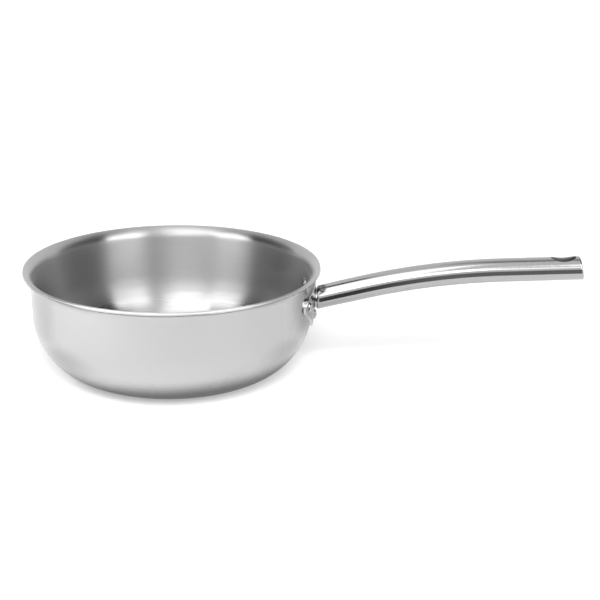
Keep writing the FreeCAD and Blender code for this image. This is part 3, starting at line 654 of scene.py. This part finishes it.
# Bracket: rounded shield that hugs the wall, with a boss and a spigot for the tube
shield = {
    "gap": 0.05,
    "thickness": 2.3,
    "lobeRadius": 8.5,
    "footRadius": 14.0,
    "footMargin": 10.0,      # lower rivet to the bottom edge
    "crownRadius": 168.0,
    "edgeRound": 0.6,
    "bossRadius": 8.2,
    "bossFillet": 1.2,
    "bossRound": 0.3,
    "spigotLength": 9.0,
    "spigotClearance": 0.05,
    "spigotRoot": 0.3,       # ring that keeps the shoulder crisp
    "spigotChamfer": 0.4,
    "columns": 168,
    "arcPoints": 60,         # on each arc of the outline
    "backRings": (0.2, 0.4, 0.6, 0.8, 0.94, 1.0),  # shares of the way from the middle of the back to its edge
    "edgeRings": (0.05, 0.5, 1.0),
    "bossRings": (0.3, 0.6, 1.0),
    "faceRings": 10,
    "filletRings": 8,
    "roundRings": 6,
}
rivet = {
    "azimuth": 16.0,
    "lowerGap": 0.8,         # lower head to the boss
    "headRadius": 4.5,
    "shankRadius": 2.5,
    "outerHeight": 2.0,
    "innerHeight": 1.6,
    "seatPower": 4,          # how close to its rim a head bends to the face
    "columns": 48,
    "domeRings": 14,
}
plateFace = shield["gap"] + shield["thickness"]
bossFoot = axisZ - grip["standOff"] * math.tan(rise) - shield["bossRadius"] / math.cos(rise)
lowerZ = bossFoot - rivet["lowerGap"] - rivet["headRadius"]
gripWay = np.array([math.cos(rise), 0.0, math.sin(rise)])
gripUp = np.array([-math.sin(rise), 0.0, math.cos(rise)])
sideways = np.array([0.0, 1.0, 0.0])
gripRoot = np.array([axisX, 0.0, axisZ])


# Outline in (y, z): crown arc, two lobes round the upper rivets, straight sides, foot arc under the lower one
def shieldOutline(inset):
    lobe = shield["lobeRadius"] - inset
    foot = shield["footRadius"] - inset
    crown = shield["crownRadius"] - inset
    lobeY = (float(wallReach(np.array(upperZ), 0.0)) + plateFace) * math.sin(math.radians(rivet["azimuth"]))
    footZ = lowerZ - shield["footMargin"] + shield["footRadius"]
    crownZ = upperZ - math.sqrt((crown - lobe) ** 2 - lobeY ** 2)
    lobeTop = math.atan2(upperZ - crownZ, lobeY)
    spread = math.hypot(lobeY, upperZ - footZ)
    lean = math.atan2(upperZ - footZ, lobeY) - math.acos((foot - lobe) / spread)
    arcs = ((0.0, crownZ, crown, math.pi / 2, lobeTop), (lobeY, upperZ, lobe, lobeTop, lean),
            (0.0, footZ, foot, lean, -math.pi / 2))
    half = []
    for y, z, r, start, end in arcs:
        t = np.linspace(start, end, shield["arcPoints"])
        half.append(np.stack([y + r * np.cos(t), z + r * np.sin(t)], axis=-1))
    half = np.vstack(half)
    whole = np.vstack([half, half[-2::-1] * [-1, 1]])
    way = walked(whole)
    stops = way[-1] * np.arange(shield["columns"]) / shield["columns"]
    return np.stack([np.interp(stops, way, whole[:, 0]), np.interp(stops, way, whole[:, 1])], axis=-1)


# Rings of one outline from the middle of the back out to the edge, over it and in across the face, then
# circles root + radius (cos a upwards, sin a sideways) + run along the tube's axis: fillet, boss and spigot
def shieldShell():
    outline = shieldOutline(0.0)
    centre = np.array([0.0, axisZ - grip["standOff"] * math.sin(rise)])
    angle = np.arctan2(outline[:, 0], outline[:, 1] - centre[1])
    spoke = np.cos(angle)[:, None] * gripUp + np.sin(angle)[:, None] * sideways
    back = shield["gap"]
    soft = shield["edgeRound"]
    boss = shield["bossRadius"]
    fillet = shield["bossFillet"]
    quarter = quarterArc(shield["roundRings"])
    rings = [onWall(*(centre + t * (outline - centre)).T, back) for t in shield["backRings"]]
    rings += [onWall(*outline.T, back + t * (shield["thickness"] - soft)) for t in shield["edgeRings"]]
    for sweep in quarter[1:]:
        inset = shieldOutline(soft * (1 - math.cos(sweep)))
        rings.append(onWall(*inset.T, plateFace - soft * (1 - math.sin(sweep))))
    face = shieldOutline(soft)
    farFoot = slideToWall(gripRoot + (boss + fillet) * spoke, gripWay, plateFace)
    for t in np.linspace(0, 1, shield["faceRings"] + 1)[1:]:
        rings.append(onWall(*((1 - t) * face + t * farFoot[:, 1:]).T, plateFace))
    corner = slideToWall(gripRoot + boss * spoke, gripWay, plateFace)
    rising = corner + fillet * gripWay
    for t in np.linspace(0, 1, shield["filletRings"] + 1)[1:]:
        rings.append((1 - t) ** 2 * farFoot + 2 * t * (1 - t) * corner + t * t * rising)
    shoulder = shield["bossRound"]
    start = (corner - gripRoot) @ gripWay + fillet
    for t in shield["bossRings"]:
        run = start + t * (-shoulder - start)
        rings.append(gripRoot + boss * spoke + run[:, None] * gripWay)
    for sweep in quarter[1:]:
        reach = boss - shoulder * (1 - math.cos(sweep))
        rings.append(gripRoot + reach * spoke - shoulder * (1 - math.sin(sweep)) * gripWay)
    spigot = grip["neckRadius"] - grip["wall"] - shield["spigotClearance"]
    length = shield["spigotLength"]
    chamfer = shield["spigotChamfer"]
    for reach, run in ((spigot, 0.0), (spigot, shield["spigotRoot"]), (spigot, length / 2),
                       (spigot, length - chamfer), (spigot - chamfer, length), (spigot / 2, length)):
        rings.append(gripRoot + reach * spoke + run * gripWay)
    rings = np.stack(rings)
    along = walked(rings[:, 0])
    poles = [onWall(*centre, back), gripRoot + length * gripWay]
    return ringShell(rings, along, np.arange(shield["columns"]) * 1.0, *poles)


shieldWrap = float(shield["columns"])
addPiece("wall_bracket", "handle_bracket", shieldShell(), shieldWrap, shieldSteel)


# Rivet: an oval dome outside, shank, a lower dome inside; rho = R sin t, height = H cos t, its rim laid on
# the face that carries it
def rivetShell(azimuth, height):
    swing = math.radians(azimuth)
    drop = max(0.0, pan["cornerRadius"] - height)
    lean = max(taper, math.asin(drop / pan["cornerRadius"]))
    out = np.array([math.cos(lean) * math.cos(swing), math.cos(lean) * math.sin(swing), -math.sin(lean)])
    side = np.array([-math.sin(swing), math.cos(swing), 0.0])
    up = np.cross(out, side)
    reach = float(wallReach(np.array(height), 0.0))
    spot = np.array([reach * math.cos(swing), reach * math.sin(swing), height])
    angle = fullTurn * np.arange(rivet["columns"]) / rivet["columns"]
    spoke = np.cos(angle)[:, None] * up + np.sin(angle)[:, None] * side
    sweep = quarterArc(rivet["domeRings"] + 1)[1:]

    def domeRings(level, tall, facing):
        seat = slideToWall(spot + rivet["headRadius"] * spoke, out, level)
        sunk = (seat - spot) @ out - level
        rings = []
        for t in sweep:
            lift = level + facing * tall * math.cos(t) + sunk * math.sin(t) ** rivet["seatPower"]
            rings.append(spot + rivet["headRadius"] * math.sin(t) * spoke + lift[:, None] * out)
        rings.append(slideToWall(spot + rivet["shankRadius"] * spoke, out, level))
        return rings, spot + (level + facing * tall) * out

    outside, outerPole = domeRings(plateFace, rivet["outerHeight"], 1)
    inside, innerPole = domeRings(-wallThick, rivet["innerHeight"], -1)
    rings = np.stack(outside + inside[::-1])
    return ringShell(rings, walked(rings[:, 0]), angle * rivet["headRadius"], outerPole, innerPole)


rivetWrap = fullTurn * rivet["headRadius"]
rivets = {
    "left": ("rivet_upper_left", rivet["azimuth"], upperZ),
    "right": ("rivet_upper_right", -rivet["azimuth"], upperZ),
    "low": ("rivet_lower", 0.0, lowerZ),
}
for place, (node, azimuth, height) in rivets.items():
    addPiece("rivet_" + place, node, rivetShell(azimuth, height), rivetWrap, rivetSteel)

# Camera at the photograph's viewing angle
shot = {
    "place": (0.1077, -1.2873, 0.4897),  # metres
    "tilt": 18.38,           # degrees below level
    "roll": 0.48,
    "lens": 96.0,
    "sensor": 36.0,
    "clip": (0.05, 30.0),    # metres
}


def makeCamera():
    camera = bpy.data.cameras.new("shot")
    camera.lens = shot["lens"]
    camera.sensor_width = shot["sensor"]
    camera.clip_start, camera.clip_end = shot["clip"]
    holder = bpy.data.objects.new("shot", camera)
    bpy.context.scene.collection.objects.link(holder)
    holder.location = shot["place"]
    pitch = Matrix.Rotation(math.radians(90 - shot["tilt"]), 3, "X")
    roll = Matrix.Rotation(math.radians(shot["roll"]), 3, "Z")
    holder.rotation_euler = (pitch @ roll).to_euler()
    bpy.context.scene.camera = holder


makeCamera()
bpy.context.scene.view_settings.view_transform = "Standard"
print("camera placed")

# Studio: white all round, soft boxes above, and cards that only reflections see
studio = {
    "skyFill": 0.25,         # light from the white room on the floor
    "floorColour": "#e0e0e0",
    "floorGlow": 0.34,       # lifts the floor to white and its shadow stays
    "floorHalf": 4.0,        # metres
    "frontLight": 4.45,      # broad light from the front, on the floor only
    "frontHeight": 41.0,     # degrees above level
    "frontSide": 10.0,       # degrees to the right
    "frontSpread": 38.0,
}
oneFace = np.array([[0, 1, 2, 3]])


# 1 for rays from the camera, from a mirror or through glass, and 0 for light that falls on a matt surface
def seenDirectly(tree):
    path = addNode(tree, "ShaderNodeLightPath")
    seen = addNode(tree, "ShaderNodeMath", {"operation": "MAXIMUM"},
                   wires={0: path.outputs["Is Camera Ray"], 1: path.outputs["Is Glossy Ray"]})
    seen = addNode(tree, "ShaderNodeMath", {"operation": "MAXIMUM"},
                   wires={0: seen.outputs["Value"], 1: path.outputs["Is Transmission Ray"]})
    return seen.outputs["Value"]


def makeSky():
    world = bpy.data.worlds.new("white_room")
    world.use_nodes = True
    bpy.context.scene.world = world
    tree = world.node_tree
    tree.nodes.clear()
    level = addNode(tree, "ShaderNodeMapRange", values={"To Min": studio["skyFill"], "To Max": 1.0},
                    wires={"Value": seenDirectly(tree)})
    white = addNode(tree, "ShaderNodeBackground", values={"Color": (1.0, 1.0, 1.0, 1.0)},
                    wires={"Strength": level.outputs["Result"]})
    addNode(tree, "ShaderNodeOutputWorld", wires={"Surface": white.outputs["Background"]})


# Four corners of a flat sheet, from its first corner and its two edges
def sheetCorners(corner, across, up):
    first = np.array(corner)
    second = first + across
    return np.stack([first, second, second + up, first + up])


def makeFloor():
    material, tree = newMaterial("studio_floor")
    paint = addNode(tree, "ShaderNodeBsdfDiffuse", values={"Color": linearColour(studio["floorColour"])})
    glow = addNode(tree, "ShaderNodeMath", {"operation": "MULTIPLY"}, {1: studio["floorGlow"]},
                   {0: seenDirectly(tree)})
    lift = addNode(tree, "ShaderNodeEmission", wires={"Strength": glow.outputs["Value"]})
    both = addNode(tree, "ShaderNodeAddShader", wires={0: paint.outputs["BSDF"], 1: lift.outputs["Emission"]})
    addNode(tree, "ShaderNodeOutputMaterial", wires={"Surface": both.outputs["Shader"]})
    half = studio["floorHalf"]
    corners = sheetCorners((-half, -half, 0.0), (2 * half, 0.0, 0.0), (0.0, 2 * half, 0.0))
    mesh = bpy.data.meshes.new("studio_floor")
    mesh.from_pydata(corners.tolist(), [], oneFace.tolist())
    mesh.materials.append(material)
    floor = bpy.data.objects.new("studio_floor", mesh)
    bpy.context.scene.collection.objects.link(floor)


def makeFrontLight():
    lamp = bpy.data.lights.new("front_light", "SUN")
    lamp.energy = studio["frontLight"]
    lamp.angle = math.radians(studio["frontSpread"])
    holder = bpy.data.objects.new("front_light", lamp)
    bpy.context.scene.collection.objects.link(holder)
    holder.rotation_euler = (math.radians(90 - studio["frontHeight"]), 0.0, math.radians(studio["frontSide"]))
    holder.visible_glossy = False


# Soft boxes, in metres: place, aim, size across and up; radiance is on top of the white room's 1. Only
# reflections see them, but for the one that lights only the floor
softBoxes = {
    "box_left": {"place": (-0.95, -0.7, 0.62), "aim": (0.0, 0.0, 0.05), "size": (0.8, 1.0), "radiance": 3.3},
    "box_right": {"place": (0.95, -0.85, 0.62), "aim": (0.0, 0.0, 0.05), "size": (0.8, 1.0), "radiance": 3.3},
    "box_top": {"place": (-0.25, -0.8, 1.3), "aim": (-0.1, -0.2, 0.0), "size": (0.85, 1.4), "radiance": 1.6},
    "box_high": {"place": (0.78, -1.05, 1.25), "aim": (0.0, 0.0, 0.05), "size": (0.6, 0.5), "radiance": 0.7},
    "box_grip": {"place": (0.2, -0.55, 0.32), "aim": (0.2, 0.0, 0.08), "size": (0.6, 0.1), "radiance": 1.2},
    "box_front": {"place": (-0.15, -1.5, 0.95), "aim": (0.0, 0.0, 0.05), "size": (1.1, 0.6), "radiance": 2.2},
    "box_floor": {"place": (-0.42, -0.22, 0.4), "aim": (-0.38, -0.16, 0.0), "size": (0.24, 0.24),
                  "radiance": 7.0, "floorOnly": True},
}


def makeSoftBox(name, box):
    lamp = bpy.data.lights.new(name, "AREA")
    lamp.shape = "RECTANGLE"
    lamp.size, lamp.size_y = box["size"]
    lamp.energy = box["radiance"] * math.pi * box["size"][0] * box["size"][1]
    holder = bpy.data.objects.new(name, lamp)
    bpy.context.scene.collection.objects.link(holder)
    holder.location = box["place"]
    way = Vector(box["aim"]) - Vector(box["place"])
    holder.rotation_euler = way.to_track_quat("-Z", "Y").to_euler()
    floorOnly = box.get("floorOnly", False)
    holder.visible_camera = False
    holder.visible_glossy = not floorOnly
    holder.visible_diffuse = floorOnly


# The unlit room at both sides and overhead, in metres: first corner and two edges of each card
roomCards = {
    "card_left": {"corner": (-0.95, -0.36, 0.2), "across": (0.0, 1.02, 0.0), "up": (0.0, 0.0, 2.2),
                  "level": 0.02},
    "card_right": {"corner": (0.95, 0.55, 0.2), "across": (0.0, -0.93, 0.0), "up": (0.0, 0.0, 2.2),
                   "level": 0.02},
    "card_top_left": {"corner": (-0.95, 0.1, 1.9), "across": (0.0, 0.5, 0.0), "up": (0.65, 0.0, 0.0),
                      "level": 0.05},
    "card_top_right": {"corner": (0.3, 0.1, 1.9), "across": (0.0, 0.5, 0.0), "up": (0.65, 0.0, 0.0),
                       "level": 0.05},
}
# Painted shade: square cards just above the floor that only reflections see, which give the outside of the
# pan its shading and fade to clear
paintedFloorShade = {
    "card_low_left": {"centre": (-105.0, -35.0, 0.0), "half": 95.0, "height": 0.5, "level": 1.0,
                      "dark": 10.0, "outer": 90.0},
    "card_far_left": {"centre": (-215.0, 70.0, 0.0), "half": 122.0, "height": 1.3, "level": 1.2,
                      "dark": 70.0, "outer": 120.0},
    "card_near_right": {"centre": (128.0, -12.0, 0.0), "half": 87.0, "height": 0.8, "level": 0.95,
                        "dark": 15.0, "outer": 85.0},
    "card_low_right": {"centre": (220.0, 200.0, 0.0), "half": 230.0, "height": 0.5, "level": 0.6,
                       "dark": 80.0, "outer": 220.0},
}
# A grey card high up behind the handle, in metres
backCard = {"corner": (0.15, 0.25, 1.5), "across": (0.0, 0.65, 0.0), "up": (0.55, 0.0, 0.0), "level": 0.6}
# A dark strip in front of the tube and just below it draws the black line along its side
gripStrip = {"level": 0.08, "away": 50.0, "above": 2.0, "below": 37.0, "start": -12.0, "overrun": 25.0,
             "stops": 24, "centre": (127.0, -50.0, 60.0), "dark": 20.0, "outer": 110.0, "far": 0.24}
# Painted shadow: a ring on the floor under the curve of the pan that only reflections see, darkest towards
# the base
paintedUnderShadow = {"centre": (6.0, 0.0, 0.0), "inner": 74.0, "dark": 88.0, "outer": 120.0, "level": 0.28,
              "height": 1.0, "columns": 96}


# Only reflections see a card, and only its front. A fade goes by the distance from its centre: from dark to
# outer the card turns clear, or changes from its level to the level far
def makeCard(name, corners, faces, level, fade=None):
    material, tree = newMaterial(name)
    gleam = addNode(tree, "ShaderNodeEmission", values={"Strength": level})
    clear = addNode(tree, "ShaderNodeBsdfTransparent")
    hidden = addNode(tree, "ShaderNodeNewGeometry").outputs["Backfacing"]
    if fade:
        place = addNode(tree, "ShaderNodeTexCoord").outputs["Object"]
        middle = [c * mm for c in fade["centre"]]
        moved = addNode(tree, "ShaderNodeVectorMath", {"operation": "SUBTRACT"}, {1: middle}, {0: place})
        reach = addNode(tree, "ShaderNodeVectorMath", {"operation": "LENGTH"},
                        wires={0: moved.outputs["Vector"]})
        shade = addNode(tree, "ShaderNodeMapRange", {"interpolation_type": "SMOOTHSTEP"},
                        values={"From Min": fade["dark"] * mm, "From Max": fade["outer"] * mm,
                                "To Min": level if "far" in fade else 0.0, "To Max": fade.get("far", 1.0)},
                        wires={"Value": reach.outputs["Value"]}).outputs["Result"]
        if "far" in fade:
            tree.links.new(shade, gleam.inputs["Strength"])
        else:
            hidden = addNode(tree, "ShaderNodeMath", {"operation": "MAXIMUM"},
                             wires={0: hidden, 1: shade}).outputs["Value"]
    shown = addNode(tree, "ShaderNodeMixShader",
                    wires={0: hidden, 1: gleam.outputs["Emission"], 2: clear.outputs["BSDF"]})
    addNode(tree, "ShaderNodeOutputMaterial", wires={"Surface": shown.outputs["Shader"]})
    mesh = bpy.data.meshes.new(name)
    mesh.from_pydata(corners.tolist(), [], faces.tolist())
    mesh.materials.append(material)
    piece = bpy.data.objects.new(name, mesh)
    bpy.context.scene.collection.objects.link(piece)
    piece.visible_camera = False
    piece.visible_diffuse = False
    piece.visible_transmission = False
    piece.visible_shadow = False


def makeRoomCard(name, card):
    makeCard(name, sheetCorners(card["corner"], card["across"], card["up"]), oneFace, card["level"])


# One square card of painted floor shade round its centre, at its height above the floor
def makePaintedFloorCard(name, card):
    x, y = card["centre"][:2]
    half = card["half"]
    corners = sheetCorners((x - half, y - half, card["height"]), (2 * half, 0.0, 0.0), (0.0, 2 * half, 0.0))
    makeCard(name, corners * mm, oneFace, card["level"], card)


# The strip follows the tube's axis: point(i) = axis + (lift upwards, away towards the front)
def makeGripStrip():
    run = np.linspace(gripStrip["start"], gripRun + gripStrip["overrun"], gripStrip["stops"])
    lifts = (gripStrip["above"], -gripStrip["below"])
    edges = [offGrip(run, lift, -gripStrip["away"]) for lift in lifts]
    faces = ringQuads(2, gripStrip["stops"])[:-1]
    makeCard("card_grip", np.vstack(edges) * mm, faces, gripStrip["level"], gripStrip)


# The painted shadow ring: two circles round the centre, joined by faces that look up
def makePaintedUnderShadow():
    columns = paintedUnderShadow["columns"]
    angle = fullTurn * np.arange(columns) / columns
    edges = []
    for reach in (paintedUnderShadow["inner"], paintedUnderShadow["outer"]):
        edges.append(np.stack([paintedUnderShadow["centre"][0] + reach * np.cos(angle), reach * np.sin(angle),
                               np.full(columns, paintedUnderShadow["height"])], axis=-1))
    faces = ringQuads(2, columns)[:, ::-1]
    makeCard("card_under_painted_shadow", np.vstack(edges) * mm, faces, paintedUnderShadow["level"], paintedUnderShadow)


makeSky()
makeFloor()
makeFrontLight()
for name, box in softBoxes.items():
    makeSoftBox(name, box)
for name, card in roomCards.items():
    makeRoomCard(name, card)
for name, card in paintedFloorShade.items():
    makePaintedFloorCard(name, card)
makeRoomCard("card_back", backCard)
makeGripStrip()
makePaintedUnderShadow()
print("studio made")
